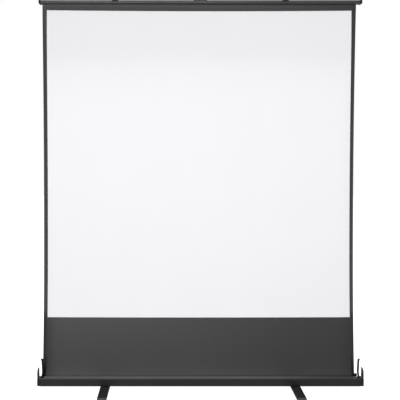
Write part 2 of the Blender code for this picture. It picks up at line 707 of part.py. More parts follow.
def top_bar(top_pins):
    """Extruded bar, open at its ends for the catches, with caps, grip, strap brackets and the sheet's rod."""
    bar = plate("top_bar", bar_section(), 2 * BAR_HALF, "YZ", (0, 0, 0), "bar_black")
    opening_depth = HOLLOW_REAR - HOLLOW_FRONT - 2 * RUN
    for side in (-1, 1):
        inner = CATCH_X - CATCH_BELLY - CATCH_SIDE_GAP
        opening = sided(box_outline(inner, BAR_HALF + 0.01, BAR_BOTTOM - 0.01, BAR_TOP + 0.01), side)
        at = (0, (HOLLOW_FRONT + HOLLOW_REAR) / 2, 0)
        shape(bar, plate(f"catch_opening_{side}", [opening], opening_depth, "XZ", at, "steel"))
    carried = [bar, *top_pins]
    rod_at = (SHEET_SHIFT, SHEET_Y, GROOVE_Z)
    rod_half = SHEET_HALF
    rod = [(0, rod_half), (ROD_RADIUS, rod_half), (ROD_RADIUS, -rod_half), (0, -rod_half)]
    carried.append(turned("sheet_top_rod", rod, "X", rod_at, "moulded_black", steps=12))
    half = BAR_CAP_THICK / 2
    cap = fillet(
        [
            (-half, BAR_BOTTOM - BAR_CAP_DROP, BAR_CAP_CORNER),
            (half, BAR_BOTTOM - BAR_CAP_DROP, BAR_CAP_CORNER),
            (half, BAR_TOP + BAR_CAP_RISE, 0.0025),
            (-half, BAR_TOP + BAR_CAP_RISE, 0.0025),
        ]
    )
    cap_depth = BAR_DEPTH + 2 * BAR_CAP_LIP
    for word, side in (("left", -1), ("right", 1)):
        at = (side * (BAR_HALF + SEAT + half), (BAR_FRONT + BAR_REAR) / 2, 0)
        end_cap = plate(f"bar_end_cap_{word}", [cap], cap_depth, "XZ", at, "moulded_black")
        soften(end_cap, 0.0025)
        carried.append(end_cap)
        carried.append(bar_bracket(word, side))
    carried.append(bar_grip())
    carry("top_bar_axis", (-SUPPORT_X, SUPPORT_Y, TOP_PIVOT_Z), carried)


def bar_grip():
    """Low moulded grip on the middle of the bar, ridged across for the fingers."""
    middle_y = (BAR_FRONT + BAR_CHAMFER + BAR_REAR) / 2
    middle_z = BAR_TOP + SEAT + GRIP_RISE / 2
    half = GRIP_DEPTH / 2
    outline = box_outline(-half, half, -GRIP_RISE / 2, GRIP_RISE / 2, 0.0014)
    grip = plate("bar_grip", [outline], 2 * GRIP_HALF, "YZ", (0, middle_y, middle_z), "moulded_black")
    spacing = 2 * GRIP_HALF / (GRIP_RIDGES + 1)
    for index in range(GRIP_RIDGES):
        x = spacing * (index + 1) - GRIP_HALF
        at = (x, middle_y, BAR_TOP + SEAT + GRIP_RISE + 0.0008)
        shape(grip, plate(f"grip_groove_{index}", [circle(0.002, steps=12)], GRIP_DEPTH * 2, "XZ", at, "steel"))
    return grip


def bar_bracket(word, side):
    """Strap hooked over the bar, with a tapered tail that hangs behind it and carries the upper arm."""
    lip_front = BAR_FRONT + BAR_CHAMFER - SEAT - PLATE_THICK * 0.8
    lip_rear = lip_front + PLATE_THICK * 0.8
    tail_front = SUPPORT_Y - PLATE_THICK / 2
    tail_rear = SUPPORT_Y + PLATE_THICK / 2
    under = BAR_TOP + SEAT
    over = under + PLATE_THICK
    tail_end = TOP_PIVOT_Z - BRACKET_END_RADIUS
    strap = fillet(
        [
            (lip_front, BAR_TOP - 0.006, 0.0005),
            (lip_rear, BAR_TOP - 0.006, 0.0005),
            (lip_rear, under, 0),
            (tail_front, under, 0.0015),
            (tail_front, tail_end, 0),
            (tail_rear, tail_end, 0),
            (tail_rear, over, 0.0040),
            (lip_front, over, 0.0018),
        ]
    )
    at = (side * SUPPORT_X, 0, 0)
    bracket = plate(f"bar_bracket_{word}", [strap], BRACKET_WIDTH, "YZ", at, "moulded_black")
    half = BRACKET_WIDTH / 2
    radius = BRACKET_END_RADIUS
    face = fillet(
        [
            (-half, over + 0.01, 0),
            (-half, BAR_BOTTOM, 0.006),
            (-radius, TOP_PIVOT_Z, 0),
            (-radius, tail_end, 0.7 * radius),
            (radius, tail_end, 0.7 * radius),
            (radius, TOP_PIVOT_Z, 0),
            (half, BAR_BOTTOM, 0.006),
            (half, over + 0.01, 0),
        ]
    )
    trim_at = (side * SUPPORT_X, 0, 0)
    depth = 2 * CASE_DEPTH
    loops = [face, circle(PIN_RADIUS + RUN, 0, TOP_PIVOT_Z)]
    shape(bracket, plate(f"bracket_face_{word}", loops, depth, "XZ", trim_at, "steel"), "INTERSECT")
    groove = box_outline(-half + 0.007, half - 0.007, lip_front - 0.01, tail_front - 0.004, 0.001)
    groove_at = (side * SUPPORT_X, 0, over)
    shape(bracket, plate(f"bracket_groove_{word}", [groove], 0.0016, "XY", groove_at, "steel"))
    return bracket


def base_bracket(word, side):
    """Angle bracket on the floor of the arm channel that carries the lower arm's foot."""
    outer_y = SUPPORT_Y + side * (BASE_OFFSET + PLATE_THICK / 2)
    inner_y = outer_y - side * PLATE_THICK
    flange_y = outer_y - side * 0.018
    low = CASE_FLOOR + SEAT
    top = BASE_PIVOT_Z + BRACKET_END_RADIUS * 0.9
    angle = fillet(
        [
            (outer_y, low, PLATE_THICK),
            (outer_y, top, 0),
            (inner_y, top, 0),
            (inner_y, low + PLATE_THICK * 0.8, 0.001),
            (flange_y, low + PLATE_THICK * 0.8, 0),
            (flange_y, low, 0),
        ]
    )
    at = (side * SUPPORT_X, 0, 0)
    bracket = plate(f"base_bracket_{word}", [angle], BRACKET_WIDTH, "YZ", at, "steel")
    half = BRACKET_WIDTH / 2
    radius = BRACKET_END_RADIUS * 0.9
    face = fillet(
        [
            (-half, low - 0.01, 0),
            (half, low - 0.01, 0),
            (half, low + 0.006, 0.003),
            (radius, top - radius * 0.6, 0.003),
            (radius * 0.75, top, 0.005),
            (-radius * 0.75, top, 0.005),
            (-radius, top - radius * 0.6, 0.003),
            (-half, low + 0.006, 0.003),
        ]
    )
    loops = [face, circle(PIN_RADIUS + RUN, 0, BASE_PIVOT_Z)]
    shape(bracket, plate(f"base_face_{word}", loops, 2 * CASE_DEPTH, "XZ", at, "steel"), "INTERSECT")


def folding_support(word, side):
    """One side's lower and upper arm with their pins: left in the front layers, right in the rear ones."""
    radius = ARM_WIDTH / 2
    outline = link_outline(ARM_LENGTH, radius)
    holes = [circle(PIN_RADIUS + RUN), circle(PIN_RADIUS + RUN, 0, ARM_LENGTH)]
    foot_x = side * SUPPORT_X
    knee_x = foot_x - side * KNEE_REACH
    lower_y = SUPPORT_Y + side * LOWER_OFFSET
    upper_y = SUPPORT_Y + side * UPPER_OFFSET
    lean = side * ARM_LEAN
    base_at = (foot_x, lower_y, BASE_PIVOT_Z)
    knee_at = (knee_x, upper_y, KNEE_Z)
    lower = plate(f"lower_arm_{word}", [outline, *holes], ARM_THICK, "XZ", base_at, "arm_black", turn=-lean)
    upper = plate(f"upper_arm_{word}", [outline, *holes], ARM_THICK, "XZ", knee_at, "arm_black", turn=lean)
    base_bracket(word, side)
    half = ARM_THICK / 2
    outward = half + ARM_GAP + PLATE_THICK
    base_low, base_high = sorted((-side * (half - SEAT), side * outward))
    head = sorted((side * (outward + SEAT), side * (outward + SEAT + RIVET_THICK)))
    joined = min(base_low, head[0]), max(base_high, head[1])
    pin(f"base_pin_{word}", PIN_RADIUS, *joined, RIVET_RADIUS, *head, base_at, "steel")
    middle_y = (lower_y + upper_y) / 2
    knee_reach = KNEE_GAP / 2 + ARM_THICK + SEAT
    profile = [
        (0, knee_reach + RIVET_THICK),
        (RIVET_RADIUS, knee_reach + RIVET_THICK),
        (RIVET_RADIUS, knee_reach),
        (PIN_RADIUS, knee_reach),
        (PIN_RADIUS, -knee_reach),
        (RIVET_RADIUS, -knee_reach),
        (RIVET_RADIUS, -knee_reach - RIVET_THICK),
        (0, -knee_reach - RIVET_THICK),
    ]
    knee_pin = turned(f"knee_pin_{word}", profile, "Y", (knee_x, middle_y, KNEE_Z), "steel")
    washer_half = KNEE_GAP / 2 - SEAT
    washer_at = (knee_x, middle_y, KNEE_Z)
    washer_inner = PIN_RADIUS + RUN
    name = f"knee_washer_{word}"
    washer = ring(name, radius - 0.002, washer_inner, -washer_half, washer_half, "Y", washer_at, "moulded_black")
    carry(f"lower_arm_axis_{word}", base_at, [lower, knee_pin, washer])
    carry(f"upper_arm_axis_{word}", knee_at, [upper])
    reach = PLATE_THICK / 2 + SEAT
    inner_end = -side * reach
    outer_end = side * (UPPER_OFFSET + half)
    low, high = sorted((inner_end, outer_end))
    top_pin = [(0, high), (PIN_RADIUS, high), (PIN_RADIUS, low), (0, low)]
    return turned(f"top_pin_{word}", top_pin, "Y", (foot_x, SUPPORT_Y, TOP_PIVOT_Z), "steel")


def build():
    case_body()
    roller()
    sheet()
    for word, side in (("left", -1), ("right", 1)):
        case_end_cap(word, side)
        end_catch(word, side)
        foot(word, side)
    top_pins = [folding_support("left", -1), folding_support("right", 1)]
    top_bar(top_pins)


for old in list(bpy.data.objects):
    bpy.data.objects.remove(old)
PARTS = collection("projector_screen")
CUTTERS = collection("cutters")
build()
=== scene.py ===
import json
from math import exp, pi, radians, sin

import bpy
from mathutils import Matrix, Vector


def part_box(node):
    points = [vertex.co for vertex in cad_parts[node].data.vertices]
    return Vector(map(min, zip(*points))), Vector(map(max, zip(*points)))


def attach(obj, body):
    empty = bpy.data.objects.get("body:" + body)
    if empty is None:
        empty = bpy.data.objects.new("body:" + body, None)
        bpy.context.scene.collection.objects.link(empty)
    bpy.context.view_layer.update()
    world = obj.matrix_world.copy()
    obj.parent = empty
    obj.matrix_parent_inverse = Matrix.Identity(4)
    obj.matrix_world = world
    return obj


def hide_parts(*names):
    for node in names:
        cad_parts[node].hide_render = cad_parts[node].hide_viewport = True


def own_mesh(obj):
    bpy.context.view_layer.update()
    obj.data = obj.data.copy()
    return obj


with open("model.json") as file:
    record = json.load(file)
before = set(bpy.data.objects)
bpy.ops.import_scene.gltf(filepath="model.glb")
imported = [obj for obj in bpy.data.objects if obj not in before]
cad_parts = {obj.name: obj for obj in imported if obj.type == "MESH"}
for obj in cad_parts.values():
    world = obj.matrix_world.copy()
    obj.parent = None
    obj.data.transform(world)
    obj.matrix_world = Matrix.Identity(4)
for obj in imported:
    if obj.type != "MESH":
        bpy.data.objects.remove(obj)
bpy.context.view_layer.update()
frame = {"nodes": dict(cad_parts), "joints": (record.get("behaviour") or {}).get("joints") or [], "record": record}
nodes = frame["nodes"]
joints = {joint["name"]: joint for joint in frame["joints"]}

# Sizes read from the frame, in metres
SHEET_LOW, SHEET_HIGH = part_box("screen_sheet")
FACE_LOW, FACE_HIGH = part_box("viewing_face")
BAR_LOW, BAR_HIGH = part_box("top_bar")
CASE_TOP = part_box("case_rear")[1][2]
SHEET_Y = (SHEET_LOW[1] + SHEET_HIGH[1]) / 2
SHEET_X = (SHEET_LOW[0] + SHEET_HIGH[0]) / 2
SHEET_HALF = (SHEET_HIGH[0] - SHEET_LOW[0]) / 2
FOLD_ANCHOR = (0, 0, joints["roller_spin"]["pos_m"][2])
NEAR = 0.0001

# Cloth: how it necks in between the bar and the case
NECK_TOP = 0.0150
NECK_FOOT = 0.0080
WAIST_SHARE = 0.335
CLOTH_THICK = 0.0005

# Cloth: the borders, and how its side edges roll back away from its ends
SIDE_BORDER = 0.0275
BORDER_SHARE = SIDE_BORDER / SHEET_HALF
ROLL_OUT = 0.0036
ROLL_AT_FOOT = 0.5
ROLL_REACH = 0.04
ROLL_TOP_POWER = 10
CURL_WIDTH = 0.028
CURL_DEPTH = 0.0135
CURL_SHARE_LEFT = 0.075
CURL_SHARE_RIGHT = 0.10

# Cloth: how its level lines sag, tilt and drift sideways
WHITE_LOW = FACE_LOW[2] + 0.0045
WHITE_HIGH = FACE_HIGH[2] + 0.0058
WHITE_TILT = 0.0016
TILT_POWER = 8
SAG_TOP = 0.0055
SAG_TOP_POWER = 6
SAG_FOOT = 0.0030
HELD_TOP = 0.02
HELD_FOOT = 0.05
DRIFT = 0.0018
DRIFT_WAIST = 0.0012

# Cloth: steps of its grid, from border to border and from the roller to the rod
COLUMN_STEPS = [6, 18, 18, 6]
ROW_STEPS = [14, 36, 12]

# Painted light and shade in the black cloth's colour and sheen: painted shade at the drop's edges, foot and right,
# painted light beside case and bar and on the borders beside the white
EDGE_DARK = 0.85
EDGE_DARK_LEFT = 0.026
EDGE_DARK_RIGHT = 0.012
BORDER_LIGHT_LEFT = 0.08
BORDER_LIGHT_RIGHT = 0.15
FOOT_LIGHT = 0.80
FOOT_REACH = 0.028
BAR_LIGHT = 1.6
BAR_REACH = 0.006
DROP_LEVEL = 0.04
DROP_LIFT = 0.26
DROP_FADE = 0.21
BLACK_SHEEN = 0.43


def deselect():
    if bpy.context.object and bpy.context.object.mode != "OBJECT":
        bpy.ops.object.mode_set(mode="OBJECT")
    bpy.ops.object.select_all(action="DESELECT")


def rest_at_origin():
    bpy.ops.object.transform_apply(location=True, rotation=True, scale=True)


def finish_piece(piece, body, material=None, smooth=35):
    """Rests a piece at the origin, smooths it, gives it its finish and lets it ride on its body."""
    deselect()
    piece.select_set(True)
    bpy.context.view_layer.objects.active = piece
    rest_at_origin()
    bpy.ops.object.shade_smooth_by_angle(angle=radians(smooth))
    if material:
        piece.data.materials.clear()
        piece.data.materials.append(material)
    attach(piece, body)


# Wiring that the finishes share


def feed(tree, node, values):
    """Sets a node's inputs, or links them where a value is another node's output."""
    for label, value in values.items():
        if isinstance(value, bpy.types.NodeSocket):
            tree.links.new(value, node.inputs[label])
        else:
            node.inputs[label].default_value = value
    return node


def fed_node(tree, kind, values):
    return feed(tree, tree.nodes.new("ShaderNode" + kind), values)


def maths(tree, operation, *values):
    node = fed_node(tree, "Math", dict(enumerate(values)))
    node.operation = operation
    return node.outputs["Value"]


def multiplied(tree, first, second):
    """Product of two vectors, or of a vector and a number."""
    node = fed_node(tree, "VectorMath", {0: first, 1: second})
    node.operation = "MULTIPLY"
    return node.outputs["Vector"]


def mapped(tree, value, low, high, to_low=0.0, to_high=1.0):
    """A value carried from one range to another, and held at its ends."""
    values = {"Value": value, "From Min": low, "From Max": high, "To Min": to_low, "To Max": to_high}
    return fed_node(tree, "MapRange", values).outputs["Result"]


def noise(tree, place, scale, detail):
    return fed_node(tree, "TexNoise", {"Vector": place, "Scale": scale, "Detail": detail}).outputs["Fac"]


CLOUD_LOW = 0.3
CLOUD_HIGH = 0.7


def clouded(tree, colour, place, amount, scale, detail):
    """A colour that is up to the given amount darker in soft clouds."""
    low = maths(tree, "SUBTRACT", 1.0, amount)
    cloud = noise(tree, place, scale, detail)
    return multiplied(tree, colour, mapped(tree, cloud, CLOUD_LOW, CLOUD_HIGH, low))


def effect_group(name, inputs, outputs):
    """An empty effect: its node tree, the values it is given and the node that takes its results."""
    tree = bpy.data.node_groups.new(name, "ShaderNodeTree")
    for label, kind, value in inputs:
        socket = tree.interface.new_socket(name=label, in_out="INPUT", socket_type="NodeSocket" + kind)
        socket.default_value = value
    for label, kind in outputs:
        tree.interface.new_socket(name=label, in_out="OUTPUT", socket_type="NodeSocket" + kind)
    return tree, tree.nodes.new("NodeGroupInput").outputs, tree.nodes.new("NodeGroupOutput")


# Effects shared by the finishes
# Painted light on upward faces: its share falls along X between these two places, by Crown Fades
CROWN_FADES_FROM = 0.30
CROWN_FADES_TO = 0.92


def drawn_lines_effect():
    """Fine lines that a die leaves along an extrusion and the clouding of its anodising, with painted light and
    shade on its upward faces: the Crown tone, fading along X.
    """
    tree, given, result = effect_group(
        "drawn lines",
        [
            ("Colour", "Color", (0.04, 0.04, 0.04, 1)),
            ("Crown", "Color", (0.04, 0.04, 0.04, 1)),
            ("Crown From", "Float", 0.80),
            ("Crown Fades", "Float", 0.0),
            ("Cloud", "Float", 0.12),
            ("Roughness", "Float", 0.4),
            ("Spread", "Float", 0.1),
            ("Stretch", "Vector", (0.6, 900, 900)),
        ],
        [("Colour", "Color"), ("Roughness", "Float"), ("Height", "Float")],
    )
    place = tree.nodes.new("ShaderNodeTexCoord").outputs
    lines = noise(tree, multiplied(tree, place["Object"], given["Stretch"]), scale=1.0, detail=2.0)
    facing_up = fed_node(tree, "SeparateXYZ", {"Vector": place["Normal"]}).outputs["Z"]
    along = fed_node(tree, "SeparateXYZ", {"Vector": place["Object"]}).outputs["X"]
    # Painted light and shade: faces turned up past Crown From take the Crown tone, less of it further along X
    on_crown = mapped(tree, facing_up, given["Crown From"], 1.0)
    far_end = maths(tree, "SUBTRACT", 1.0, given["Crown Fades"])
    kept = mapped(tree, along, CROWN_FADES_FROM, CROWN_FADES_TO, 1.0, far_end)
    crowned = tree.nodes.new("ShaderNodeMix")
    crowned.data_type = "RGBA"
    share = maths(tree, "MULTIPLY", on_crown, kept)
    feed(tree, crowned, {"Factor": share, "A": given["Colour"], "B": given["Crown"]})
    colour = clouded(tree, crowned.outputs["Result"], place["Object"], given["Cloud"], scale=7.0, detail=3.0)
    rough = maths(tree, "MULTIPLY_ADD", lines, given["Spread"], given["Roughness"])
    feed(tree, result, {"Colour": colour, "Roughness": rough, "Height": lines})
    return tree


def moulded_grain_effect():
    """Fine leathery grain of a moulding, with a slight unevenness of its colour."""
    tree, given, result = effect_group(
        "moulded grain",
        [
            ("Colour", "Color", (0.02, 0.02, 0.02, 1)),
            ("Cloud", "Float", 0.15),
            ("Roughness", "Float", 0.5),
            ("Spread", "Float", 0.15),
            ("Grain Scale", "Float", 900.0),
        ],
        [("Colour", "Color"), ("Roughness", "Float"), ("Height", "Float")],
    )
    place = tree.nodes.new("ShaderNodeTexCoord").outputs["Object"]
    grain = noise(tree, place, given["Grain Scale"], detail=2.0)
    colour = clouded(tree, given["Colour"], place, given["Cloud"], scale=22.0, detail=2.0)
    rough = maths(tree, "MULTIPLY_ADD", grain, given["Spread"], given["Roughness"])
    feed(tree, result, {"Colour": colour, "Roughness": rough, "Height": grain})
    return tree


def weave_effect():
    """Plain weave under a coating: warp and weft crossing, with a faint unevenness across the cloth."""
    tree, given, result = effect_group(
        "coated weave",
        [
            ("Colour", "Color", (0.9, 0.9, 0.9, 1)),
            ("Cloud", "Float", 0.02),
            ("Threads", "Float", 1500.0),
        ],
        [("Colour", "Color"), ("Height", "Float")],
    )
    place = tree.nodes.new("ShaderNodeTexCoord").outputs["Object"]
    apart = fed_node(tree, "SeparateXYZ", {"Vector": place}).outputs
    warp, weft = (
        maths(tree, "SINE", maths(tree, "MULTIPLY", apart[axis], given["Threads"])) for axis in ("X", "Z")
    )
    crossing = maths(tree, "MULTIPLY", warp, weft)
    colour = clouded(tree, given["Colour"], place, given["Cloud"], scale=3.0, detail=1.0)
    feed(tree, result, {"Colour": colour, "Height": crossing})
    return tree


RELIEF_DEPTH = 0.0001


def finish_material(name, effect, settings, relief, constants):
    """A Principled finish whose colour, roughness and relief come from one of the shared effects."""
    material = bpy.data.materials.new(name)
    material.use_nodes = True
    tree = material.node_tree
    shader = tree.nodes["Principled BSDF"]
    source = tree.nodes.new("ShaderNodeGroup")
    source.node_tree = effect
    # A finish without a painted crown tone of its own keeps its colour on upward faces
    if "Crown" in source.inputs:
        settings = {"Crown": settings["Colour"], **settings}
    feed(tree, source, settings)
    feed(tree, shader, {"Base Color": source.outputs["Colour"], **constants})
    if "Roughness" in source.outputs:
        feed(tree, shader, {"Roughness": source.outputs["Roughness"]})
    height = source.outputs["Height"]
    bump = fed_node(tree, "Bump", {"Strength": relief, "Distance": RELIEF_DEPTH, "Height": height})
    feed(tree, shader, {"Normal": bump.outputs["Normal"]})
    material.diffuse_color = settings["Colour"]
    return material


def grey(value):
    return (value, value, value, 1)


DRAWN_LINES = drawn_lines_effect()
MOULDED_GRAIN = moulded_grain_effect()
WEAVE = weave_effect()
EVERY_WAY = (700, 700, 700)
UPRIGHT = (500, 500, 3)

# Each finish: its effect, the effect's settings, the depth of its relief and the shader's own values
FINISH_RECIPES = {
    "anodised_case": (
        DRAWN_LINES,
        {
            "Colour": grey(0.0195),
            # Painted highlight: the case's upward faces take a lighter tone, which fades towards +X
            "Crown": grey(0.106),
            "Crown From": 0.90,
            "Crown Fades": 0.65,
            "Cloud": 0.10,
            "Roughness": 0.38,
            "Spread": 0.10,
        },
        0.25,
        {"Metallic": 0.35, "Specular IOR Level": 0.12},
    ),
    "anodised_bar": (
        DRAWN_LINES,
        {
            "Colour": grey(0.046),
            # Painted shade: the bar's upward faces take a darker tone
            "Crown": grey(0.012),
            "Crown From": 0.25,
            "Cloud": 0.10,
            "Roughness": 0.46,
            "Spread": 0.12,
        },
        0.25,
        {"Metallic": 0.35, "Specular IOR Level": 0.12},
    ),
    "anodised_arm": (
        DRAWN_LINES,
        {"Colour": grey(0.040), "Cloud": 0.12, "Roughness": 0.38, "Spread": 0.12, "Stretch": UPRIGHT},
        0.2,
        {"Metallic": 0.4},
    ),
    "zinc_steel": (
        DRAWN_LINES,
        {"Colour": grey(0.46), "Cloud": 0.15, "Roughness": 0.28, "Spread": 0.15, "Stretch": EVERY_WAY},
        0.15,
        {"Metallic": 1.0},
    ),
    "mill_aluminium": (
        DRAWN_LINES,
        {"Colour": grey(0.62), "Cloud": 0.08, "Roughness": 0.30, "Spread": 0.15},
        0.2,
        {"Metallic": 1.0},
    ),
    "black_moulding": (
        MOULDED_GRAIN,
        {"Colour": grey(0.008), "Cloud": 0.15, "Roughness": 0.44, "Spread": 0.18, "Grain Scale": 1400.0},
        0.35,
        {"Specular IOR Level": 0.15},
    ),
    "black_oxide": (
        DRAWN_LINES,
        {"Colour": grey(0.07), "Cloud": 0.10, "Roughness": 0.32, "Spread": 0.15, "Stretch": EVERY_WAY},
        0.15,
        {"Metallic": 1.0},
    ),
    "powder_coat": (
        MOULDED_GRAIN,
        {"Colour": grey(0.0115), "Cloud": 0.10, "Roughness": 0.55, "Spread": 0.15, "Grain Scale": 1800.0},
        0.5,
        {"Specular IOR Level": 0.07},
    ),
    "rubber": (
        MOULDED_GRAIN,
        {"Colour": grey(0.052), "Cloud": 0.2, "Roughness": 0.62, "Spread": 0.2, "Grain Scale": 700.0},
        0.5,
        {},
    ),
    "black_cloth": (
        WEAVE,
        {"Colour": grey(0.013), "Cloud": 0.05, "Threads": 2600.0},
        0.2,
        {"Roughness": 0.45},
    ),
    "cloth_back": (
        WEAVE,
        {"Colour": grey(0.040), "Cloud": 0.06, "Threads": 2600.0},
        0.3,
        {"Roughness": 0.7, "Specular IOR Level": 0.3},
    ),
    "white_cloth": (
        WEAVE,
        {"Colour": (0.905, 0.900, 0.925, 1), "Cloud": 0.01, "Threads": 3400.0},
        0.1,
        {"Roughness": 0.8, "Specular IOR Level": 0.15},
    ),
}
FINISHES = {name: finish_material(name, *recipe) for name, recipe in FINISH_RECIPES.items()}

SLOT_FINISH = {
    "case_black": "anodised_case",
    "bar_black": "anodised_bar",
    "moulded_black": "black_moulding",
    "foot_black": "powder_coat",
    "arm_black": "anodised_arm",
    "steel": "zinc_steel",
    "tube_aluminium": "mill_aluminium",
    "rubber_black": "rubber",
    "sheet_black": "black_cloth",
    "sheet_white": "white_cloth",
}


def light_black_cloth():
    """Paints light and shade into the black cloth: its colour and sheen are scaled by the painted light and shade
    stored on its points.
    """
    tree = FINISHES["black_cloth"].node_tree
    shader = tree.nodes["Principled BSDF"]
    colour = shader.inputs["Base Color"].links[0].from_socket
    edge = tree.nodes.new("ShaderNodeAttribute")
    edge.attribute_name = "painted_light"
    light = edge.outputs["Fac"]
    sheen = maths(tree, "MULTIPLY", light, BLACK_SHEEN)
    feed(tree, shader, {"Base Color": multiplied(tree, colour, light), "Specular IOR Level": sheen})


def dress_frame():
    """Puts the finishes on the frame's own pieces."""
    for entry in frame["record"]["subparts"]:
        piece = nodes[entry["node"]]
        piece.data.materials.clear()
        piece.data.materials.append(FINISHES[SLOT_FINISH[entry["material_slot"]]])


# The screen's cloth


def within(value):
    return min(1, max(0, value))


def cloth_half(z):
    """Half width of the cloth at a height: it necks in between the bar and the case."""
    waist_z = CASE_TOP + WAIST_SHARE * (BAR_LOW[2] - CASE_TOP)
    waist = SHEET_HALF - NECK_TOP
    if z > waist_z:
        half = waist + NECK_TOP * ((z - waist_z) / (BAR_LOW[2] - waist_z)) ** 2
    else:
        half = waist + NECK_FOOT * ((waist_z - z) / (waist_z - FOLD_ANCHOR[2])) ** 2
    return min(half, SHEET_HALF)


def spaced(stops, counts):
    """Positions that meet each stop, with a count of even steps between neighbours."""
    places = [stops[0]]
    for low, high, count in zip(stops, stops[1:], counts):
        places += [low + (high - low) * step / count for step in range(1, count + 1)]
    return places


def light_on_cloth(left, z, inside, side):
    """Painted light and shade that a point's colour and sheen take, from its distance inside the side edge and its
    side, -1 to 1.
    """
    reach = EDGE_DARK_LEFT if left else EDGE_DARK_RIGHT
    border_light = BORDER_LIGHT_LEFT if left else BORDER_LIGHT_RIGHT
    on_drop = within(1 - (z - WHITE_LOW) / SIDE_BORDER)
    # Painted light on the side borders beside the white
    beside_white = (1 - on_drop) * (z < WHITE_HIGH - SIDE_BORDER) * (inside < SIDE_BORDER)
    # Painted light just above the case and just under the bar
    thrown = FOOT_LIGHT * exp(-max(0, z - CASE_TOP) / FOOT_REACH)
    thrown += BAR_LIGHT * exp(-max(0, BAR_LOW[2] - z) / BAR_REACH)
    # Painted shade at the drop's side edges
    dark = on_drop * EDGE_DARK * exp(-inside / reach)
    drop_share = within((z - CASE_TOP) / (WHITE_LOW - CASE_TOP))
    # Painted shade towards the drop's foot and right, painted light towards its top
    painted_drop_shade = on_drop * (DROP_LEVEL + DROP_LIFT * (drop_share - 0.5) - DROP_FADE * max(0, side))
    return (1 + thrown + beside_white * border_light) * (1 - dark) * (1 + painted_drop_shade)


def cloth_point(across, z):
    """Place of a point of the cloth and the painted light and shade on it, from its flat side share and height."""
    left = across < 0
    share = within((z - CASE_TOP) / (BAR_LOW[2] - CASE_TOP))
    rolled = (1 - share**ROLL_TOP_POWER) * min(1, ROLL_AT_FOOT + share / ROLL_REACH)
    half = cloth_half(z) + ROLL_OUT * rolled
    shown = SIDE_BORDER * (1 - (CURL_SHARE_LEFT if left else CURL_SHARE_RIGHT) * rolled)
    if abs(across) > 1 - BORDER_SHARE - NEAR:
        x = (-1 if left else 1) * (half - (1 - abs(across)) / BORDER_SHARE * shown)
    else:
        x = across / (1 - BORDER_SHARE) * (half - shown)
    side = x / half
    inside = half - abs(x)
    curl = CURL_DEPTH * rolled * max(0, 1 - inside / CURL_WIDTH) ** 2
    sag = SAG_TOP * share**SAG_TOP_POWER + SAG_FOOT * (1 - share) ** 2
    free = min(1, (SHEET_HIGH[2] - z) / HELD_TOP, max(0, (z - SHEET_LOW[2]) / HELD_FOOT))
    drift = SHEET_X + DRIFT * (2 * share - 1) - DRIFT_WAIST * sin(pi * share)
    tilt = WHITE_TILT * side * share**TILT_POWER
    level = z - free * (tilt + sag * (1 - side**2))
    return (x + drift, SHEET_Y + curl, level), light_on_cloth(left, z, inside, side)


def screen_cloth():
    """The hanging sheet: white viewing area, black borders and drop, black back, edges rolling back."""
    across = spaced([-1, -1 + BORDER_SHARE, 0, 1 - BORDER_SHARE, 1], COLUMN_STEPS)
    up = spaced([SHEET_LOW[2], WHITE_LOW, WHITE_HIGH, SHEET_HIGH[2]], ROW_STEPS)
    columns = len(across)
    deselect()
    bpy.ops.mesh.primitive_grid_add(x_subdivisions=columns - 1, y_subdivisions=len(up) - 1, size=2)
    cloth = bpy.context.object
    cloth.name = "screen_cloth"
    # Painted light and shade for each point, kept as a point attribute for the black cloth's finish
    painted_light = []
    for index, vertex in enumerate(cloth.data.vertices):
        row, column = divmod(index, columns)
        vertex.co, light = cloth_point(across[column], up[row])
        painted_light.append(light)
    cloth.data.attributes.new("painted_light", "FLOAT", "POINT").data.foreach_set("value", painted_light)
    for name in ("black_cloth", "white_cloth", "cloth_back", "cloth_back"):
        cloth.data.materials.append(FINISHES[name])
    for face in cloth.data.polygons:
        row, column = divmod(face.index, columns - 1)
        white_row = WHITE_LOW - NEAR < up[row] < WHITE_HIGH - NEAR
        white_column = COLUMN_STEPS[0] <= column < columns - 1 - COLUMN_STEPS[-1]
        face.material_index = 1 if white_row and white_column else 0
    thick = cloth.modifiers.new("Thickness", "SOLIDIFY")
    thick.thickness = CLOTH_THICK
    thick.offset = -1
    thick.material_offset = 2
    bpy.ops.object.modifier_apply(modifier=thick.name)
    finish_piece(cloth, "case", smooth=60)
    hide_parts("screen_sheet", "viewing_face")
    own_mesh(cloth)


# Screws that hold the end caps, the base brackets and the bar's straps
SCREW_RADIUS = 0.0034
SCREW_HEIGHT = 0.0017
SCREW_GAP = 0.0001
SCREW_SIDES = 40
RIM_STEPS = 4
FLAT_UP = 0.9
RIM_SHARE = 0.6
RECESS_LENGTH = 1.15
RECESS_WIDTH = 0.24
CAP_SCREWS = ((-0.030, 0.038), (0.030, 0.034))
FLANGE_SCREW_X = 0.013
FLANGE_REACH = {"left": -0.0045, "right": 0.0045}
FLANGE_THICK = 0.0024
STRAP_SCREW_X = 0.011
STRAP_TOP = BAR_HIGH[2] + 0.0025


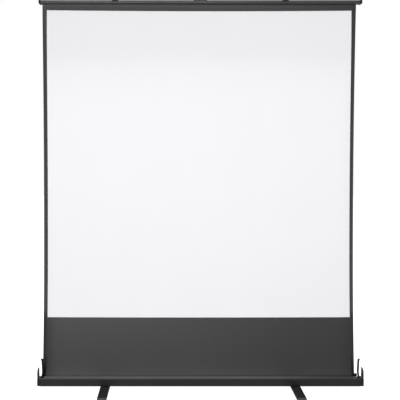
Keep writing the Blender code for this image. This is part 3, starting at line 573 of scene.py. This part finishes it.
def screw_head():
    """A pan head with a rounded rim and a cross recess, standing on the origin and facing up."""
    deselect()
    middle = SCREW_HEIGHT / 2
    bpy.ops.mesh.primitive_cylinder_add(
        vertices=SCREW_SIDES, radius=SCREW_RADIUS, depth=SCREW_HEIGHT, location=(0, 0, middle)
    )
    head = bpy.context.object
    rest_at_origin()
    for face in head.data.polygons:
        face.select = face.normal.z > FLAT_UP
    for edge in head.data.edges:
        edge.select = all(head.data.vertices[corner].co.z > middle for corner in edge.vertices)
    bpy.ops.object.mode_set(mode="EDIT")
    bpy.ops.mesh.bevel(offset=SCREW_HEIGHT * RIM_SHARE, segments=RIM_STEPS, affect="EDGES")
    bpy.ops.object.mode_set(mode="OBJECT")
    for length, width in ((RECESS_LENGTH, RECESS_WIDTH), (RECESS_WIDTH, RECESS_LENGTH)):
        deselect()
        bpy.ops.mesh.primitive_cube_add(size=1, location=(0, 0, SCREW_HEIGHT))
        blade = bpy.context.object
        blade.scale = (SCREW_RADIUS * length, SCREW_RADIUS * width, SCREW_HEIGHT)
        rest_at_origin()
        deselect()
        bpy.context.view_layer.objects.active = head
        recess = head.modifiers.new("Recess", "BOOLEAN")
        recess.object = blade
        recess.solver = "EXACT"
        bpy.ops.object.modifier_apply(modifier=recess.name)
        bpy.data.objects.remove(blade)
    return head


def screws(name, places, body):
    """Heads at the given places, each facing its own way, joined as one piece."""
    pattern = screw_head()
    heads = []
    for at, facing in places:
        deselect()
        pattern.select_set(True)
        bpy.context.view_layer.objects.active = pattern
        bpy.ops.object.duplicate()
        head = bpy.context.object
        head.rotation_euler = Vector(facing).to_track_quat("Z", "Y").to_euler()
        head.location = Vector(at) + Vector(facing) * SCREW_GAP
        heads.append(head)
    deselect()
    for head in heads:
        head.select_set(True)
    bpy.context.view_layer.objects.active = heads[0]
    bpy.ops.object.join()
    joined = bpy.context.object
    joined.name = name
    bpy.data.objects.remove(pattern)
    finish_piece(joined, body, FINISHES["black_oxide"])


def middle_x(low, high):
    return (low[0] + high[0]) / 2


def upright_pair(x, step, y, z):
    """Two places side by side, both facing up."""
    return [((x + shift, y, z), (0, 0, 1)) for shift in (-step, step)]


def fit_screws():
    case_places = []
    bar_places = []
    bar_y = (BAR_LOW[1] + BAR_HIGH[1]) / 2
    for side, way in (("left", -1), ("right", 1)):
        cap_low, cap_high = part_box("case_end_cap_" + side)
        cap_x = cap_high[0] if way > 0 else cap_low[0]
        case_places += [((cap_x, y, z), (way, 0, 0)) for y, z in CAP_SCREWS]
        low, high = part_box("base_bracket_" + side)
        flange_y = FLANGE_REACH[side] + (low[1] if way > 0 else high[1])
        case_places += upright_pair(middle_x(low, high), FLANGE_SCREW_X, flange_y, low[2] + FLANGE_THICK)
        low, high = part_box("bar_bracket_" + side)
        bar_places += upright_pair(middle_x(low, high), STRAP_SCREW_X, bar_y, STRAP_TOP)
    screws("case_screws", case_places, "case")
    screws("bar_screws", bar_places, "top_bar")


# Studio: floor, light and camera
FLOOR_SIZE = 40
FLOOR_GREY = 0.36
SKY_LEVEL = 0.34


def shows_background(tree):
    """1 for the rays that should see the white background: from the camera, a reflection or glass."""
    path = tree.nodes.new("ShaderNodeLightPath").outputs
    seen = path["Is Camera Ray"]
    for ray in ("Is Glossy Ray", "Is Transmission Ray"):
        seen = maths(tree, "MAXIMUM", seen, path[ray])
    return seen


def plain_material(name, values):
    material = bpy.data.materials.new(name)
    material.use_nodes = True
    feed(material.node_tree, material.node_tree.nodes["Principled BSDF"], values)
    return material


def studio():
    deselect()
    bpy.ops.mesh.primitive_plane_add(size=FLOOR_SIZE, location=(0, 0, 0))
    floor = bpy.context.object
    floor.name = "studio_floor"
    surface = {"Base Color": grey(FLOOR_GREY), "Roughness": 0.9, "Specular IOR Level": 0.0}
    material = plain_material("studio_floor_white", {**surface, "Emission Color": grey(1)})
    tree = material.node_tree
    feed(tree, tree.nodes["Principled BSDF"], {"Emission Strength": shows_background(tree)})
    floor.data.materials.append(material)

    world = bpy.data.worlds.new("studio")
    bpy.context.scene.world = world
    world.use_nodes = True
    tree = world.node_tree
    level = mapped(tree, shows_background(tree), 0.0, 1.0, SKY_LEVEL, 1.0)
    feed(tree, tree.nodes["Background"], {"Strength": level, "Color": grey(1)})


def dark_card(name, at, width, height):
    """A black card beside the lamps that only reflections see, so that sheens fade away from the key lamp."""
    deselect()
    bpy.ops.mesh.primitive_plane_add(size=1, location=at)
    card = bpy.context.object
    card.name = name
    card.scale = (width, height, 1)
    card.rotation_euler = (pi / 2, 0, 0)
    rest_at_origin()
    card.data.materials.append(plain_material(name, {"Base Color": grey(0), "Specular IOR Level": 0.0}))
    card.visible_camera = False
    card.visible_diffuse = False
    card.visible_transmission = False
    card.visible_shadow = False


def soft_box(name, at, aim, size, power, glossy=True):
    data = bpy.data.lights.new(name, "AREA")
    data.shape = "RECTANGLE"
    data.size, data.size_y = size
    data.energy = power
    lamp = bpy.data.objects.new(name, data)
    lamp.location = at
    lamp.rotation_euler = (Vector(aim) - Vector(at)).to_track_quat("-Z", "Y").to_euler()
    lamp.visible_glossy = glossy
    bpy.context.scene.collection.objects.link(lamp)


# The photograph's camera: straight ahead, verticals parallel, framed with a small shift
VIEW_DISTANCE = 4.2
VIEW_X = -0.161
VIEW_HEIGHT = 1.374
PIXEL = 0.005913
FRAME = 400
CENTRE_X = 173
CENTRE_Y = 155.6
SENSOR = 36


def photograph_camera():
    data = bpy.data.cameras.new("photograph")
    data.sensor_width = SENSOR
    data.lens = SENSOR * VIEW_DISTANCE / (PIXEL * FRAME)
    data.shift_x = (FRAME / 2 - CENTRE_X) / FRAME
    data.shift_y = (CENTRE_Y - FRAME / 2) / FRAME
    data.clip_end = 100
    camera = bpy.data.objects.new("photograph", data)
    camera.location = (VIEW_X, SHEET_Y - VIEW_DISTANCE, VIEW_HEIGHT)
    camera.rotation_euler = (pi / 2, 0, 0)
    bpy.context.scene.collection.objects.link(camera)
    bpy.context.scene.camera = camera


light_black_cloth()
dress_frame()
screen_cloth()
fit_screws()
studio()
dark_card("card_right", (3.4, -5.6, 1.0), 4.4, 5.0)
soft_box("key_left", (-1.9, -4.8, 1.5), (-0.3, 0, 1.2), (2.4, 2.4), 83.5)
soft_box("fill_right", (2.6, -4.6, 1.4), (0, 0, 1.1), (2.0, 2.6), 47.5, glossy=False)
soft_box("front_high", (0.8, -4.6, 3.3), (0, 0, 1.5), (1.6, 1.2), 29)
soft_box("top_fill", (0, -4.6, 3.9), (0, 0, 1.8), (1.6, 1.2), 19, glossy=False)
soft_box("over_case", (-0.55, -0.30, 6.0), (-0.55, -0.30, 0), (2.2, 0.3), 300)
soft_box("rear_fill", (0, 4.0, 2.6), (0, 0, 1.2), (3.0, 2.0), 60)
photograph_camera()
bpy.context.scene.view_settings.view_transform = "Standard"
